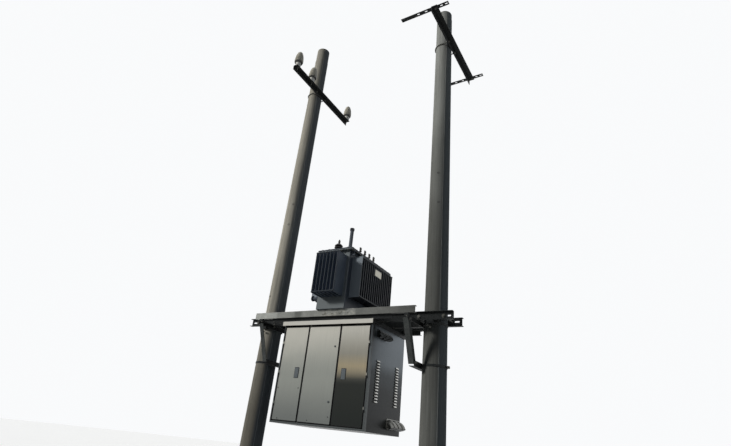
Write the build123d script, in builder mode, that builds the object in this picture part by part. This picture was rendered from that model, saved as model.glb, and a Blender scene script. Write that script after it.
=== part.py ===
from build123d import *
import math
import os

# Pole-mounted distribution transformer station, all lengths in millimetres.
# The origin is the foot of the left pole. X runs to the right pole, Y runs away from the
# door side of the cabinet, and Z is up.

# Poles
pole_spacing = 2500
left_pole_height = 8400
right_pole_height = 8110
pole_foot_radius = 147
pole_taper = 1 / 280
pole_cap_step = 4
left_cap_height = 280
right_cap_height = 130

# Main beams, channels clamped in front of and behind both poles
platform_top = 3120
main_beam_height = 100
main_beam_flange = 48
main_beam_wall = 6
main_beam_overhang = 270
beam_slot_length = 60
beam_slot_width = 18
beam_slot_from_end = 62

# Outer platform beams, channels that stand clear of the poles
outer_beam_height = 80
outer_beam_flange = 43
outer_beam_wall = 5
outer_beam_inset = 65
platform_half_depth = 440

# Ties, hoops and knee braces at each pole
tie_leg = 50
tie_wall = 5
hoop_width = 24
hoop_thickness = 6
upper_hoop_below_platform = 115
lower_hoop_below_platform = 588
hoop_lug_width = 80
cleat_leg = 63
cleat_wall = 6
cleat_length = 460
brace_leg = 63
brace_wall = 5
brace_foot_y = 205
brace_foot_rise = 2
brace_head_y = 405
brace_head_drop = 24

# Cabinet
cabinet_width = 1310
cabinet_depth = 820
cabinet_base_height = 22
cabinet_height = 1183
sheet = 3
door_thickness = 22
door_gap = 12
door_bottom_gap = 7
door_top_gap = 14
left_stile = 12
right_stile = 24
left_door_width = 368
centre_door_width = 462
lid_drop = 48
lid_front_overhang = 40
lid_side_overhang = 13
mullion_width = 30
mullion_depth = 20
mullion_setback = 6
top_rail_height = 40
pivot_inset = 5
pivot_radius = 4
running_gap = 0.3
hinge_radius = 6
hinge_knuckle = 28
hinge_split = 0.4
hinge_leaf = 16
hinge_leaf_thickness = 2
hinges_above_base = (210, 561, 912)
handle_width = 65
handle_height = 125
handle_from_edge = 63
handle_above_base = 569
handle_proud = 3
handle_recess = 1.5
lock_radius = 11
lock_proud = 6
lock_from_edge = 52
locks_above_base = (264, 878)
louvre_width = 72
louvre_height = 18
louvre_proud = 12
louvre_pitch = 31
louvre_rows = 15
louvre_above_base = 757
louvre_columns = (-229, 248)
upper_elbow_radius = 36
upper_elbow_bend = 52
upper_elbow_pitch = 96
upper_elbow_first = -262
upper_elbow_above_base = 1052
upper_elbow_count = 3
lower_elbow_radius = 48
lower_elbow_bend = 62
lower_elbow_pitch = 112
lower_elbow_first = 118
lower_elbow_above_base = 113
lower_elbow_count = 3
elbow_turn = 72
elbow_flange = 4
elbow_flange_margin = 8

# Rails that hang the cabinet from the outer beams
hanger_height = 54
hanger_flange = 40
hanger_wall = 4
hanger_half_length = 880

# Transformer
tank_centre_x = 1302
tank_width = 425
tank_length = 960
tank_height = 748
tank_corner = 12
flange_thickness = 12
flange_overhang = 50
tank_lid_thickness = 14
side_fin_depth = 148
end_fin_depth = 200
fin_thickness = 12
side_fin_pitch = 50
end_fin_pitch = 53
fin_height = 530
fin_bottom_above_platform = 150
fin_sheet = 5
end_fin_count = 7
side_fin_count = 17
fin_bar = 10
fin_bar_from_end = 8
hv_height = 250
hv_x = -132
hv_pitch = 270
lv_height = 165
lv_x = 128
lv_pitch = 120
lv_first = -120
filler_x = 118
filler_y = -360
filler_radius = 24
filler_height = 312
filler_cap_radius = 29
filler_cap_height = 32
lug_width = 50
lug_height = 62
lug_thickness = 8
lug_hole = 12
lug_from_corner = 30
valve_reach = 92
valve_radius = 20
valve_flange_radius = 34
valve_flange = 10
valve_y = -448
valve_above_platform = 150
rating_plate_width = 185
rating_plate_height = 105
rating_plate_thickness = 2
rating_plate_middle_y = 12
rating_plate_below_fin_top = 100

# Left pole top
left_arm_top = 7300
left_arm_leg = 80
left_arm_wall = 7
left_arm_near = -807
left_arm_far = 872
insulator_places = (-748, -343, 824)
insulator_height = 345
insulator_base_height = 84
insulator_base_radius = 46
insulator_radius = 75

# Right pole top
right_arm_top = 7400
right_arm_leg = 90
right_arm_wall = 8
right_arm_near = -800
right_arm_far = 856
strap_width = 60
strap_thickness = 6
strap_length = 740
near_strap_y = -754
far_strap_y = 813
strap_slot_length = 40
strap_slot_width = 18
strap_slot_places = (-95, 25, 262, 335)

# Sizes that follow from the ones above
pole_places = {"left": 0, "right": pole_spacing}
pole_heights = {"left": left_pole_height, "right": right_pole_height}
cap_heights = {"left": left_cap_height, "right": right_cap_height}
upper_hoop_top = platform_top - upper_hoop_below_platform
lower_hoop_middle = platform_top - lower_hoop_below_platform
middle_x = pole_spacing / 2
main_beam_bottom = platform_top - main_beam_height
outer_beam_bottom = platform_top - outer_beam_height
hanger_bottom = outer_beam_bottom - hanger_height
cabinet_top = hanger_bottom - sheet
cabinet_bottom = cabinet_top - cabinet_height
cabinet_left = middle_x - cabinet_width / 2
cabinet_right = middle_x + cabinet_width / 2
cabinet_front = -cabinet_depth / 2
cabinet_back_y = cabinet_depth / 2
base_top = cabinet_bottom + cabinet_base_height
lid_bottom = cabinet_top - lid_drop
door_bottom = base_top + door_bottom_gap
door_top = lid_bottom - door_top_gap
left_door_left = cabinet_left + left_stile + door_gap
left_door_right = left_door_left + left_door_width
centre_door_left = left_door_right + door_gap
centre_door_right = centre_door_left + centre_door_width
right_door_left = centre_door_right + door_gap
right_door_right = cabinet_right - right_stile - door_gap
hinge_y = cabinet_front - hinge_radius
left_hinge_x = left_door_left - door_gap / 2
right_hinge_x = right_door_right + door_gap / 2
tank_top = platform_top + tank_height
lid_top = tank_top + flange_thickness + tank_lid_thickness
fin_bottom = platform_top + fin_bottom_above_platform


def pole_radius(height):
    """Radius of the tapered pole at a height above the ground."""
    return pole_foot_radius - height * pole_taper


def along_x(x, y, z):
    """Plane that extrudes towards +X, with its own x along +Y and its own y along +Z."""
    return Plane(origin=(x, y, z), x_dir=(0, 1, 0), z_dir=(1, 0, 0))


def along_y(x, y, z):
    """Plane that extrudes towards +Y, with its own x along -X and its own y along +Z."""
    return Plane(origin=(x, y, z), x_dir=(-1, 0, 0), z_dir=(0, 1, 0))


def channel_section(height, flange, wall, side):
    """Channel with its web on x = 0, its foot on y = 0 and its flanges towards side."""
    with BuildSketch(mode=Mode.PRIVATE) as section:
        with BuildLine():
            Polyline(
                (0, 0), (side * flange, 0), (side * flange, wall), (side * wall, wall),
                (side * wall, height - wall), (side * flange, height - wall),
                (side * flange, height), (0, height), close=True,
            )
        make_face()
    return section.sketch


def angle_section(leg_x, leg_y, wall):
    """Angle with its corner on the origin; a negative leg points the other way."""
    wall_x = math.copysign(wall, leg_x)
    wall_y = math.copysign(wall, leg_y)
    with BuildSketch(mode=Mode.PRIVATE) as section:
        with BuildLine():
            Polyline(
                (0, 0), (leg_x, 0), (leg_x, wall_y), (wall_x, wall_y),
                (wall_x, leg_y), (0, leg_y), close=True,
            )
        make_face()
    return section.sketch


def save(builder, label):
    """Write one finished piece to its own file."""
    builder.part.label = label
    export_step(builder.part, f"parts/{label}.step")


def save_row(builders, label):
    """Write like pieces that stand apart to one file."""
    with BuildPart() as row:
        for builder in builders:
            add(builder.part)
    save(row, label)


os.makedirs("parts", exist_ok=True)

# Poles
for side, pole_x in pole_places.items():
    with BuildPart() as pole:
        with BuildSketch(Plane.XZ):
            with BuildLine():
                pole_height = pole_heights[side]
                cap_bottom = pole_height - cap_heights[side]
                Polyline(
                    (pole_x, 0),
                    (pole_x + pole_radius(0), 0),
                    (pole_x + pole_radius(cap_bottom), cap_bottom),
                    (pole_x + pole_radius(cap_bottom) - pole_cap_step, cap_bottom),
                    (pole_x + pole_radius(pole_height) - pole_cap_step, pole_height),
                    (pole_x, pole_height),
                    close=True,
                )
            make_face()
        revolve(axis=Axis((pole_x, 0, 0), (0, 0, 1)))
    save(pole, f"{side}_pole")

# Main beams
beam_seat = pole_radius(main_beam_bottom)
main_beam_length = pole_spacing + 2 * main_beam_overhang
slot_places = [beam_slot_from_end, main_beam_length - beam_slot_from_end]
for name, direction in (("front_main_beam", -1), ("rear_main_beam", 1)):
    start = along_x(-main_beam_overhang, direction * beam_seat, main_beam_bottom)
    with BuildPart() as beam:
        with BuildSketch(start):
            add(channel_section(main_beam_height, main_beam_flange, main_beam_wall, direction))
        extrude(amount=main_beam_length)
        with BuildSketch(Plane.XZ.offset(-direction * beam_seat)):
            slot_z = main_beam_bottom + main_beam_height / 2
            with Locations(*[(-main_beam_overhang + place, slot_z) for place in slot_places]):
                SlotOverall(beam_slot_length, beam_slot_width)
        extrude(amount=2 * main_beam_wall, both=True, mode=Mode.SUBTRACT)
    save(beam, name)

# Outer platform beams
outer_beam_length = pole_spacing - 2 * outer_beam_inset
for name, direction in (("front_platform_beam", -1), ("rear_platform_beam", 1)):
    start = along_x(outer_beam_inset, direction * platform_half_depth, outer_beam_bottom)
    with BuildPart() as beam:
        with BuildSketch(start):
            add(channel_section(outer_beam_height, outer_beam_flange, outer_beam_wall, -direction))
        extrude(amount=outer_beam_length)
    save(beam, name)

# Upper hoops carry the main beams on one lug each
upper_hoops = []
for side, pole_x in pole_places.items():
    hoop_low = upper_hoop_top - hoop_width
    inner = pole_radius(hoop_low)
    with BuildPart() as hoop:
        with BuildSketch(Plane.XY.offset(hoop_low)):
            with Locations((pole_x, 0)):
                Circle(inner + hoop_thickness)
                Circle(inner, mode=Mode.SUBTRACT)
        extrude(amount=hoop_width)
        with BuildSketch(Plane.XY.offset(hoop_low)):
            lug_depth = beam_seat + main_beam_flange - inner
            for direction in (-1, 1):
                with Locations((pole_x, direction * (inner + lug_depth / 2))):
                    Rectangle(hoop_lug_width, lug_depth)
            with Locations((pole_x, 0)):
                Circle(inner + hoop_thickness / 2, mode=Mode.SUBTRACT)
        extrude(amount=main_beam_bottom - hoop_low)
    upper_hoops.append(hoop)
save_row(upper_hoops, "upper_hoops")

# Cross ties under the beams, with packing under the outer beams
inward = {"left": 1, "right": -1}
tie_face = pole_radius(lower_hoop_middle - hoop_width / 2) + hoop_thickness
cross_ties = []
for side, pole_x in pole_places.items():
    toward = inward[side]
    corner_x = pole_x + toward * tie_face
    start = along_y(corner_x, -platform_half_depth, main_beam_bottom)
    with BuildPart() as tie:
        with BuildSketch(start):
            add(angle_section(-toward * tie_leg, -tie_leg, tie_wall))
        extrude(amount=2 * platform_half_depth)
        packing = outer_beam_bottom - main_beam_bottom
        with BuildSketch(Plane.XY.offset(main_beam_bottom)):
            packing_y = platform_half_depth - outer_beam_flange / 2
            for direction in (-1, 1):
                with Locations((corner_x + toward * tie_leg / 2, direction * packing_y)):
                    Rectangle(tie_leg, outer_beam_flange)
        extrude(amount=packing)
    cross_ties.append(tie)
save_row(cross_ties, "cross_ties")

# Lower hoops with the cleat that the knee braces stand on
cleat_low = lower_hoop_middle - cleat_leg / 2
lower_hoops = []
for side, pole_x in pole_places.items():
    toward = inward[side]
    hoop_low = lower_hoop_middle - hoop_width / 2
    inner = pole_radius(hoop_low)
    with BuildPart() as hoop:
        with BuildSketch(Plane.XY.offset(hoop_low)):
            with Locations((pole_x, 0)):
                Circle(inner + hoop_thickness)
                Circle(inner, mode=Mode.SUBTRACT)
        extrude(amount=hoop_width)
        cleat_x = pole_x + toward * (tie_face - hoop_thickness / 2)
        with BuildSketch(along_y(cleat_x, -cleat_length / 2, cleat_low)):
            add(angle_section(-toward * (cleat_leg + hoop_thickness / 2), cleat_leg, cleat_wall))
        extrude(amount=cleat_length)
        with BuildSketch(Plane.XY.offset(hoop_low - hoop_width)):
            with Locations((pole_x, 0)):
                Circle(inner)
        extrude(amount=3 * hoop_width, mode=Mode.SUBTRACT)
    lower_hoops.append(hoop)
save_row(lower_hoops, "lower_hoops")

# Knee braces from the cleats up to the cross ties
brace_face = tie_face + max(tie_wall, cleat_wall - hoop_thickness / 2)
brace_foot_z = lower_hoop_middle + brace_foot_rise
brace_head_z = main_beam_bottom - brace_head_drop
for side, pole_x in pole_places.items():
    toward = inward[side]
    braces = []
    for direction in (-1, 1):
        foot = Vector(pole_x + toward * brace_face, direction * brace_foot_y, brace_foot_z)
        head = Vector(pole_x + toward * brace_face, direction * brace_head_y, brace_head_z)
        run = head - foot
        start = Plane(origin=foot, x_dir=(toward, 0, 0), z_dir=run.normalized())
        with BuildPart() as brace:
            with BuildSketch(start):
                with BuildLine():
                    outer = direction * toward * brace_leg / 2
                    skin = outer - direction * toward * brace_wall
                    Polyline(
                        (0, outer), (brace_leg, outer), (brace_leg, skin),
                        (brace_wall, skin), (brace_wall, -outer), (0, -outer), close=True,
                    )
                make_face()
            extrude(amount=run.length)
        braces.append(brace)
    save_row(braces, f"{side}_knee_braces")

# Cabinet shell
with BuildPart() as cabinet_base:
    with BuildSketch(Plane.XY.offset(cabinet_bottom)):
        with Locations((middle_x, 0)):
            Rectangle(cabinet_width, cabinet_depth)
    extrude(amount=cabinet_base_height)
save(cabinet_base, "cabinet_base")

wall_height = cabinet_top - base_top
with BuildPart() as cabinet_back:
    with BuildSketch(Plane.XY.offset(base_top)):
        with Locations((middle_x, cabinet_back_y - sheet / 2)):
            Rectangle(cabinet_width, sheet)
    extrude(amount=wall_height)
save(cabinet_back, "cabinet_back")

for side, wall_x, toward, stile in (
    ("left", cabinet_left, 1, left_stile),
    ("right", cabinet_right, -1, right_stile),
):
    with BuildPart() as wall:
        with BuildSketch(Plane.XY.offset(base_top)):
            with BuildLine():
                Polyline(
                    (wall_x, cabinet_back_y - sheet),
                    (wall_x, cabinet_front),
                    (wall_x + toward * stile, cabinet_front),
                    (wall_x + toward * stile, cabinet_front + door_thickness),
                    (wall_x + toward * sheet, cabinet_front + door_thickness),
                    (wall_x + toward * sheet, cabinet_back_y - sheet),
                    close=True,
                )
            make_face()
        extrude(amount=wall_height)
        for column in louvre_columns:
            for row in range(louvre_rows):
                lip = cabinet_bottom + louvre_above_base - row * louvre_pitch
                start = Plane(
                    origin=(wall_x, column - louvre_width / 2, lip),
                    x_dir=(-toward, 0, 0), z_dir=(0, 1, 0),
                )
                with BuildSketch(start):
                    with BuildLine():
                        down = toward * louvre_height
                        Polyline((0, 0), (louvre_proud, -down), (0, -down), close=True)
                    make_face()
                extrude(amount=louvre_width)
    save(wall, f"cabinet_{side}_side")

frame_front = cabinet_front + door_thickness + mullion_setback
with BuildPart() as top_rail:
    with BuildSketch(Plane.XY.offset(lid_bottom - top_rail_height)):
        with Locations((middle_x, frame_front + mullion_depth / 2)):
            Rectangle(cabinet_width - 2 * sheet, mullion_depth)
    extrude(amount=top_rail_height)
save(top_rail, "cabinet_top_rail")

with BuildPart() as mullions:
    with BuildSketch(Plane.XY.offset(base_top)):
        for gap_x in (left_door_right + door_gap / 2, centre_door_right + door_gap / 2):
            with Locations((gap_x, frame_front + mullion_depth / 2)):
                Rectangle(mullion_width, mullion_depth)
    extrude(amount=lid_bottom - top_rail_height - base_top)
save(mullions, "cabinet_mullions")

with BuildPart() as lid:
    outer_depth = cabinet_depth + lid_front_overhang + lid_side_overhang
    outer_y = (lid_side_overhang - lid_front_overhang) / 2
    with BuildSketch(Plane.XY.offset(lid_bottom)):
        with Locations((middle_x, outer_y)):
            Rectangle(cabinet_width + 2 * lid_side_overhang, outer_depth)
    extrude(amount=lid_drop + sheet)
    with BuildSketch(Plane.XY.offset(lid_bottom)):
        with Locations((middle_x, outer_y)):
            Rectangle(cabinet_width + 2 * lid_side_overhang - 2 * sheet, outer_depth - 2 * sheet)
    extrude(amount=lid_drop, mode=Mode.SUBTRACT)
save(lid, "cabinet_lid")

# Doors with the upper half of each hinge
door_height = door_top - door_bottom
door_middle_y = cabinet_front + door_thickness / 2
hinged_doors = (
    ("left_door", left_door_left, left_door_right, left_hinge_x, 1),
    ("right_door", right_door_left, right_door_right, right_hinge_x, -1),
)
for name, low_x, high_x, axis_x, toward in hinged_doors:
    with BuildPart() as door:
        with BuildSketch(Plane.XY.offset(door_bottom)):
            with Locations(((low_x + high_x) / 2, door_middle_y)):
                Rectangle(high_x - low_x, door_thickness)
        extrude(amount=door_height)
        for rise in hinges_above_base:
            with BuildSketch(Plane.XY.offset(cabinet_bottom + rise + hinge_split / 2)):
                with Locations((axis_x, hinge_y)):
                    Circle(hinge_radius)
                leaf_x = axis_x + toward * hinge_leaf / 2
                with Locations((leaf_x, cabinet_front - hinge_leaf_thickness / 2)):
                    Rectangle(hinge_leaf, hinge_leaf_thickness)
            extrude(amount=hinge_knuckle)
    save(door, name)

with BuildPart() as hinge_brackets:
    for name, low_x, high_x, axis_x, toward in hinged_doors:
        for rise in hinges_above_base:
            knuckle_low = cabinet_bottom + rise - hinge_split / 2 - hinge_knuckle
            with BuildSketch(Plane.XY.offset(knuckle_low)):
                with Locations((axis_x, hinge_y)):
                    Circle(hinge_radius)
                leaf_x = axis_x - toward * hinge_leaf / 2
                with Locations((leaf_x, cabinet_front - hinge_leaf_thickness / 2)):
                    Rectangle(hinge_leaf, hinge_leaf_thickness)
            extrude(amount=hinge_knuckle)
save(hinge_brackets, "door_hinges")

# The centre door turns on a pin at its top and bottom left corners
pivot_x = centre_door_left + pivot_inset
pivot_y = cabinet_front + pivot_inset
with BuildPart() as centre_door:
    with BuildSketch(Plane.XY.offset(door_bottom)):
        with Locations(((centre_door_left + centre_door_right) / 2, door_middle_y)):
            Rectangle(centre_door_width, door_thickness)
    extrude(amount=door_height)
    with BuildSketch(Plane.XY.offset(base_top + running_gap)):
        with Locations((pivot_x, pivot_y)):
            Circle(pivot_radius)
    extrude(amount=door_bottom_gap - running_gap)
    with BuildSketch(Plane.XY.offset(door_top)):
        with Locations((pivot_x, pivot_y)):
            Circle(pivot_radius)
    extrude(amount=door_top_gap + lid_drop - running_gap)
save(centre_door, "centre_door")

# Flush handles and locks
handle_middle = cabinet_bottom + handle_above_base
for name, handle_x in (
    ("left_door_handle", left_door_right - handle_from_edge - handle_width / 2),
    ("right_door_handle", right_door_left + handle_from_edge + handle_width / 2),
):
    with BuildPart() as handle:
        with BuildSketch(Plane.XZ.offset(-cabinet_front)):
            with Locations((handle_x, handle_middle)):
                RectangleRounded(handle_width, handle_height, 6)
        extrude(amount=handle_proud)
        with BuildSketch(Plane.XZ.offset(-cabinet_front + handle_proud)):
            with Locations((handle_x, handle_middle)):
                RectangleRounded(handle_width - 14, handle_height - 14, 4)
        extrude(amount=-handle_recess, mode=Mode.SUBTRACT)
    save(handle, name)

with BuildPart() as locks:
    with BuildSketch(Plane.XZ.offset(-cabinet_front)):
        for rise in locks_above_base:
            with Locations((centre_door_right - lock_from_edge, cabinet_bottom + rise)):
                Circle(lock_radius)
    extrude(amount=lock_proud)
save(locks, "centre_door_locks")


def elbow_row(radius, bend, pitch, first, level, count):
    """Row of cable elbows on one flange plate, bent down from the right side wall."""
    face_x = cabinet_right + elbow_flange
    plate_length = (count - 1) * pitch + 2 * (radius + elbow_flange_margin)
    plate_middle = first + (count - 1) * pitch / 2
    with BuildPart() as row:
        with BuildSketch(along_x(cabinet_right, plate_middle, level)):
            RectangleRounded(plate_length, 2 * (radius + elbow_flange_margin), radius / 2)
        extrude(amount=elbow_flange)
        for index in range(count):
            elbow_y = first + index * pitch
            turn_axis = Axis((face_x, elbow_y, level - bend), (0, 1, 0))
            with BuildSketch(along_x(face_x, elbow_y, level)):
                Circle(radius)
            revolve(axis=turn_axis, revolution_arc=elbow_turn)
    return row


for name, row in (
    ("upper_cable_elbows", elbow_row(
        upper_elbow_radius, upper_elbow_bend, upper_elbow_pitch,
        upper_elbow_first, cabinet_bottom + upper_elbow_above_base, upper_elbow_count)),
    ("lower_cable_elbows", elbow_row(
        lower_elbow_radius, lower_elbow_bend, lower_elbow_pitch,
        lower_elbow_first, cabinet_bottom + lower_elbow_above_base, lower_elbow_count)),
):
    save(row, name)

# Hanger rails between the cabinet lid and the outer beams
hanger_rails = []
for direction in (-1, 1):
    web_y = direction * (platform_half_depth - outer_beam_flange)
    start = along_x(middle_x - hanger_half_length, web_y, hanger_bottom)
    with BuildPart() as rail:
        with BuildSketch(start):
            add(channel_section(hanger_height, hanger_flange, hanger_wall, direction))
        extrude(amount=2 * hanger_half_length)
    hanger_rails.append(rail)
save_row(hanger_rails, "hanger_rails")

# Transformer tank and lid
with BuildPart() as tank:
    with BuildSketch(Plane.XY.offset(platform_top)):
        with Locations((tank_centre_x, 0)):
            RectangleRounded(tank_width, tank_length, tank_corner)
    extrude(amount=tank_height)
    with BuildSketch(Plane.XY.offset(tank_top)):
        with Locations((tank_centre_x, 0)):
            Rectangle(tank_width + 2 * flange_overhang, tank_length + 2 * flange_overhang)
    extrude(amount=flange_thickness)
save(tank, "transformer_tank")

with BuildPart() as tank_lid:
    with BuildSketch(Plane.XY.offset(tank_top + flange_thickness)):
        with Locations((tank_centre_x, 0)):
            Rectangle(tank_width + 2 * flange_overhang, tank_length + 2 * flange_overhang)
    extrude(amount=tank_lid_thickness)
save(tank_lid, "transformer_lid")


def fin_panel(wall, count, fin_depth, fin_pitch):
    """Row of cooling fins on a backing sheet; wall is the tank side's plane."""
    span = (count - 1) * fin_pitch + fin_thickness
    with BuildPart() as panel:
        with BuildSketch(wall):
            with Locations((0, fin_height / 2)):
                Rectangle(span, fin_height)
        extrude(amount=fin_sheet)
        with BuildSketch(wall):
            for index in range(count):
                with Locations(((index - (count - 1) / 2) * fin_pitch, fin_height / 2)):
                    Rectangle(fin_thickness, fin_height)
        extrude(amount=fin_depth)
        for level in (fin_bar_from_end, fin_height - fin_bar_from_end - fin_bar):
            with BuildSketch(wall.offset(fin_depth - fin_bar / 2)):
                with Locations((0, level + fin_bar / 2)):
                    Rectangle(span, fin_bar)
            extrude(amount=fin_bar)
    return panel


tank_walls = {
    "front": Plane((tank_centre_x, -tank_length / 2, fin_bottom), (1, 0, 0), (0, -1, 0)),
    "rear": Plane((tank_centre_x, tank_length / 2, fin_bottom), (-1, 0, 0), (0, 1, 0)),
    "left": Plane((tank_centre_x - tank_width / 2, 0, fin_bottom), (0, -1, 0), (-1, 0, 0)),
    "right": Plane((tank_centre_x + tank_width / 2, 0, fin_bottom), (0, 1, 0), (1, 0, 0)),
}
for side, wall in tank_walls.items():
    if side in ("front", "rear"):
        panel = fin_panel(wall, end_fin_count, end_fin_depth, end_fin_pitch)
    else:
        panel = fin_panel(wall, side_fin_count, side_fin_depth, side_fin_pitch)
    save(panel, f"{side}_fins")


def turned(outline, places, base_z):
    """Turned pieces of one outline of radius and height pairs, one at each place."""
    with BuildPart() as row:
        for place_x, place_y in places:
            with BuildSketch(Plane((place_x, place_y, base_z), (1, 0, 0), (0, -1, 0))):
                with BuildLine():
                    Polyline((0, 0), *outline, (0, outline[-1][1]), close=True)
                make_face()
            revolve(axis=Axis((place_x, place_y, base_z), (0, 0, 1)))
    return row


hv_outline = (
    (52, 0), (52, 18), (40, 26), (40, 58), (60, 74), (60, 83), (44, 96), (44, 110),
    (57, 126), (57, 137), (32, 152), (32, 162), (29, 168), (29, 182), (14, 194),
    (14, 212), (9, 216), (9, hv_height),
)
hv_places = [(tank_centre_x + hv_x, index * hv_pitch) for index in (-1, 0, 1)]
save(turned(hv_outline, hv_places, lid_top), "high_voltage_bushings")

lv_outline = (
    (32, 0), (32, 12), (20, 18), (20, 40), (28, 48), (28, 54), (16, 64), (16, 84),
    (9, 88), (9, lv_height),
)
lv_places = [(tank_centre_x + lv_x, lv_first + index * lv_pitch) for index in range(4)]
save(turned(lv_outline, lv_places, lid_top), "low_voltage_bushings")

filler_outline = (
    (34, 0), (34, 8), (filler_radius, 8), (filler_radius, filler_height),
    (filler_cap_radius, filler_height), (filler_cap_radius, filler_height + filler_cap_height),
)
filler_place = [(tank_centre_x + filler_x, filler_y)]
save(turned(filler_outline, filler_place, lid_top), "oil_filler_pipe")

with BuildPart() as lifting_lugs:
    lug_y = tank_length / 2 - lug_from_corner
    for toward in (-1, 1):
        wall_x = tank_centre_x + toward * tank_width / 2
        for place_y in (-lug_y, lug_y):
            with BuildSketch(Plane((wall_x, place_y - lug_thickness / 2, tank_top - lug_height),
                                   (1, 0, 0), (0, -1, 0))):
                with Locations((toward * lug_width / 2, lug_height / 2)):
                    Rectangle(lug_width, lug_height)
                    Circle(lug_hole, mode=Mode.SUBTRACT)
            extrude(amount=-lug_thickness)
save(lifting_lugs, "lifting_lugs")

with BuildPart() as drain_valve:
    wall_x = tank_centre_x - tank_width / 2
    valve_z = platform_top + valve_above_platform
    with BuildSketch(Plane((wall_x, valve_y, valve_z), (0, -1, 0), (-1, 0, 0))):
        Circle(valve_radius)
    extrude(amount=valve_reach)
    with BuildSketch(Plane((wall_x, valve_y, valve_z), (0, -1, 0), (-1, 0, 0))):
        Circle(valve_flange_radius)
    extrude(amount=valve_flange)
    with BuildSketch(Plane((wall_x - valve_reach, valve_y, valve_z), (0, -1, 0), (-1, 0, 0))):
        Circle(valve_flange_radius)
    extrude(amount=-valve_flange)
save(drain_valve, "drain_valve")

with BuildPart() as rating_plate:
    plate_x = tank_centre_x + tank_width / 2 + side_fin_depth
    plate_z = fin_bottom + fin_height - rating_plate_below_fin_top
    with BuildSketch(along_x(plate_x, rating_plate_middle_y, plate_z)):
        Rectangle(rating_plate_width, rating_plate_height)
    extrude(amount=rating_plate_thickness)
save(rating_plate, "rating_plate")

# Left pole top: one arm with three post insulators
left_arm_x = pole_radius(left_arm_top - left_arm_leg)
with BuildPart() as left_arm:
    with BuildSketch(along_y(left_arm_x, left_arm_near, left_arm_top)):
        add(angle_section(-left_arm_leg, -left_arm_leg, left_arm_wall))
    extrude(amount=left_arm_far - left_arm_near)
save(left_arm, "left_crossarm")

body_height = insulator_height - insulator_base_height
body_profile = (
    (0.90, 0.02), (0.90, 0.06), (1.00, 0.10), (1.00, 0.16), (0.92, 0.20), (1.00, 0.24),
    (0.98, 0.30), (0.89, 0.34), (0.96, 0.38), (0.93, 0.44), (0.83, 0.48), (0.90, 0.52),
    (0.86, 0.58), (0.75, 0.62), (0.80, 0.66), (0.74, 0.72), (0.62, 0.76), (0.65, 0.80),
    (0.52, 0.88), (0.30, 0.95), (0.14, 1.00),
)
insulator_outline = [(insulator_base_radius, 0), (insulator_base_radius, insulator_base_height)]
for breadth, rise in body_profile:
    insulator_outline.append(
        (breadth * insulator_radius, insulator_base_height + rise * body_height))
insulator_x = left_arm_x + left_arm_leg / 2
insulator_spots = [(insulator_x, place_y) for place_y in insulator_places]
save(turned(insulator_outline, insulator_spots, left_arm_top), "post_insulators")

# Right pole top: one arm that carries two slotted straps
right_arm_x = pole_spacing + pole_radius(right_arm_top - right_arm_leg)
with BuildPart() as right_arm:
    with BuildSketch(along_y(right_arm_x, right_arm_near, right_arm_top)):
        add(angle_section(-right_arm_leg, -right_arm_leg, right_arm_wall))
    extrude(amount=right_arm_far - right_arm_near)
save(right_arm, "right_crossarm")

cross_straps = []
for strap_y in (near_strap_y, far_strap_y):
    with BuildPart() as strap:
        with BuildSketch(Plane.XY.offset(right_arm_top)):
            with Locations((pole_spacing, strap_y)):
                Rectangle(strap_length, strap_width)
            with Locations(*[(pole_spacing + place, strap_y) for place in strap_slot_places]):
                SlotOverall(strap_slot_length, strap_slot_width, mode=Mode.SUBTRACT)
        extrude(amount=strap_thickness)
    cross_straps.append(strap)
save_row(cross_straps, "cross_straps")
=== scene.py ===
import bmesh
import bpy
import math
import random
from mathutils import Matrix, Vector


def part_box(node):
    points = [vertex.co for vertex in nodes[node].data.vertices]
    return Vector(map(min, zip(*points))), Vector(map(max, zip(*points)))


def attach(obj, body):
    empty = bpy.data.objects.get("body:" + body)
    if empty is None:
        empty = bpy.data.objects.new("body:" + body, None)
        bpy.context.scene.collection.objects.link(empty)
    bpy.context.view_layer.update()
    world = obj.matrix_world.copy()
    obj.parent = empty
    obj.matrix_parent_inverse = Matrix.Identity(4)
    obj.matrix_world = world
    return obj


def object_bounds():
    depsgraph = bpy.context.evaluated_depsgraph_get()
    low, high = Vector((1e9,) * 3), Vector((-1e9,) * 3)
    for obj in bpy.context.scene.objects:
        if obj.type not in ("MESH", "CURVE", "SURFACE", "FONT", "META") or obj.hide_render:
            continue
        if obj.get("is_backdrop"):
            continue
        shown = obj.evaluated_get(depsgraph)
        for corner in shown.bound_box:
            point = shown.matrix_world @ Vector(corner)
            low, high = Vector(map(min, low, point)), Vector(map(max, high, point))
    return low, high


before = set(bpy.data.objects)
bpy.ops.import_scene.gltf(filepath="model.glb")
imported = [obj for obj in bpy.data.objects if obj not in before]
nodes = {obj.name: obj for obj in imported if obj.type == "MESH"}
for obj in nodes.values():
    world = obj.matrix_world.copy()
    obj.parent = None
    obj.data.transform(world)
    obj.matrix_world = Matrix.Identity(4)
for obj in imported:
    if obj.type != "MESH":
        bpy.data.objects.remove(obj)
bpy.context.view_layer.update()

# Picture frame of the reference, in pixels, the camera that was fitted to it, and a sensor in mm
PICTURE_WIDTH = 731
PICTURE_HEIGHT = 446
FOCAL_PIXELS = 459.74
CENTRE_PIXEL = (356.38, 214.51)
CAMERA_PLACE = Vector((4.5904, -4.9951, 1.6968))
CAMERA_YAW = -0.5946
CAMERA_PITCH = 0.4566
CAMERA_ROLL = 0.1173
SENSOR = 36.0

X = Vector((1, 0, 0))
Z = Vector((0, 0, 1))
AHEAD = Vector((0, -1, 0))
STATION = "station"
PALEST = 235
steady = random.Random(7)


def srgb(red, green, blue):
    """Linear colour of three display values from 0 to 255."""
    return tuple(((v / 255 + 0.055) / 1.055) ** 2.4 if v > 10 else v / 255 / 12.92
                 for v in (red, green, blue)) + (1.0,)


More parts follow.
